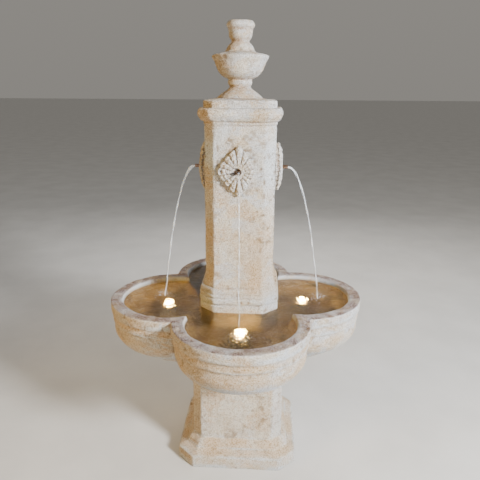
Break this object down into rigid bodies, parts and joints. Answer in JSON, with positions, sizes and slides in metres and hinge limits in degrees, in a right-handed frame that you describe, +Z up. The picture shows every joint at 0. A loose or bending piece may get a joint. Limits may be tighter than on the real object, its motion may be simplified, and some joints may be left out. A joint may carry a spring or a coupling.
{
  "type": "tiered water fountain",
  "caption": "Cast-stone garden fountain: pedestal, lobed basin with underwater lamps, square column with rosettes and copper spouts, urn finial, and a pump inside.",
  "frame": {"origin": "below the basin's centre, on the floor", "axes": "+Z up, -Y to the front lobe, +X to the right lobe"},
  "size_m": [0.98, 0.98, 1.639],
  "materials": {
    "cast_stone": "matte",
    "rosette_stone": "matte",
    "copper": "satin",
    "black_plastic": "satin",
    "grey_plastic": "satin",
    "magnet": "satin",
    "ceramic_shaft": "satin",
    "rubber": "matte",
    "hose": "satin",
    "stainless_steel": "satin",
    "lens": "gloss",
    "led_board": "satin",
    "lead_jacket": "satin"
  },
  "bodies": {
    "root": {"pedestal": "cast_stone", "basin": "cast_stone", "column": "cast_stone", "manifold": "black_plastic", "riser_hose": "hose", "hose_clamp_lower": "stainless_steel", "hose_clamp_upper": "stainless_steel", "bulkhead_sleeve": "black_plastic", "bulkhead_nut": "black_plastic", "bulkhead_gasket": "rubber", "lead_bung": "rubber", "pump_body": "black_plastic", "volute_cover": "grey_plastic", "impeller_shaft": "ceramic_shaft", "pump_lead": "lead_jacket", "pump_foot_1": "rubber", "pump_foot_2": "rubber", "pump_foot_3": "rubber", "pump_foot_4": "rubber", "rosette_front": "rosette_stone", "spout_front": "copper", "branch_hose_front": "hose", "lamp_bracket_front": "stainless_steel", "lamp_lead_front": "lead_jacket", "rosette_right": "rosette_stone", "spout_right": "copper", "branch_hose_right": "hose", "lamp_bracket_right": "stainless_steel", "lamp_lead_right": "lead_jacket", "rosette_rear": "rosette_stone", "spout_rear": "copper", "branch_hose_rear": "hose", "lamp_bracket_rear": "stainless_steel", "lamp_lead_rear": "lead_jacket", "rosette_left": "rosette_stone", "spout_left": "copper", "branch_hose_left": "hose", "lamp_bracket_left": "stainless_steel", "lamp_lead_left": "lead_jacket"},
    "lamp_front": {"lamp_housing_front": "black_plastic", "lamp_led_front": "led_board", "lamp_lens_front": "lens", "lamp_bezel_front": "stainless_steel"},
    "lamp_right": {"lamp_housing_right": "black_plastic", "lamp_led_right": "led_board", "lamp_lens_right": "lens", "lamp_bezel_right": "stainless_steel"},
    "lamp_rear": {"lamp_housing_rear": "black_plastic", "lamp_led_rear": "led_board", "lamp_lens_rear": "lens", "lamp_bezel_rear": "stainless_steel"},
    "lamp_left": {"lamp_housing_left": "black_plastic", "lamp_led_left": "led_board", "lamp_lens_left": "lens", "lamp_bezel_left": "stainless_steel"},
    "finial": {"finial": "cast_stone"},
    "impeller": {"impeller": "magnet"},
    "flow_dial": {"flow_dial": "grey_plastic"},
    "intake_cover": {"intake_cover": "black_plastic"}
  },
  "joints": [
    {"name": "finial_lift", "type": "slide", "parent": "root", "child": "finial", "axis": [0, 0, 1], "range_m": [0, 0.1]},
    {"name": "impeller_spin", "type": "hinge", "parent": "root", "child": "impeller", "pos_m": [0, -0.032, 0.512], "axis": [1, 0, 0], "continuous": true},
    {"name": "flow_dial_turn", "type": "hinge", "parent": "root", "child": "flow_dial", "pos_m": [0.01, -0.0603, 0.5], "axis": [0, -1, 0], "range_deg": [0, 90]},
    {"name": "intake_cover_pull", "type": "slide", "parent": "root", "child": "intake_cover", "axis": [1, 0, 0], "range_m": [0, 0.02]},
    {"name": "lamp_front_tilt", "type": "hinge", "parent": "root", "child": "lamp_front", "pos_m": [0, -0.235, 0.509], "axis": [1, 0, 0], "range_deg": [-40, 40]},
    {"name": "lamp_right_tilt", "type": "hinge", "parent": "root", "child": "lamp_right", "pos_m": [0.272, 0.045, 0.509], "axis": [0, 1, 0], "range_deg": [-40, 40]},
    {"name": "lamp_rear_tilt", "type": "hinge", "parent": "root", "child": "lamp_rear", "pos_m": [0, 0.24, 0.509], "axis": [-1, 0, 0], "range_deg": [-40, 40]},
    {"name": "lamp_left_tilt", "type": "hinge", "parent": "root", "child": "lamp_left", "pos_m": [-0.272, 0.045, 0.509], "axis": [0, -1, 0], "range_deg": [-40, 40]}
  ]
}
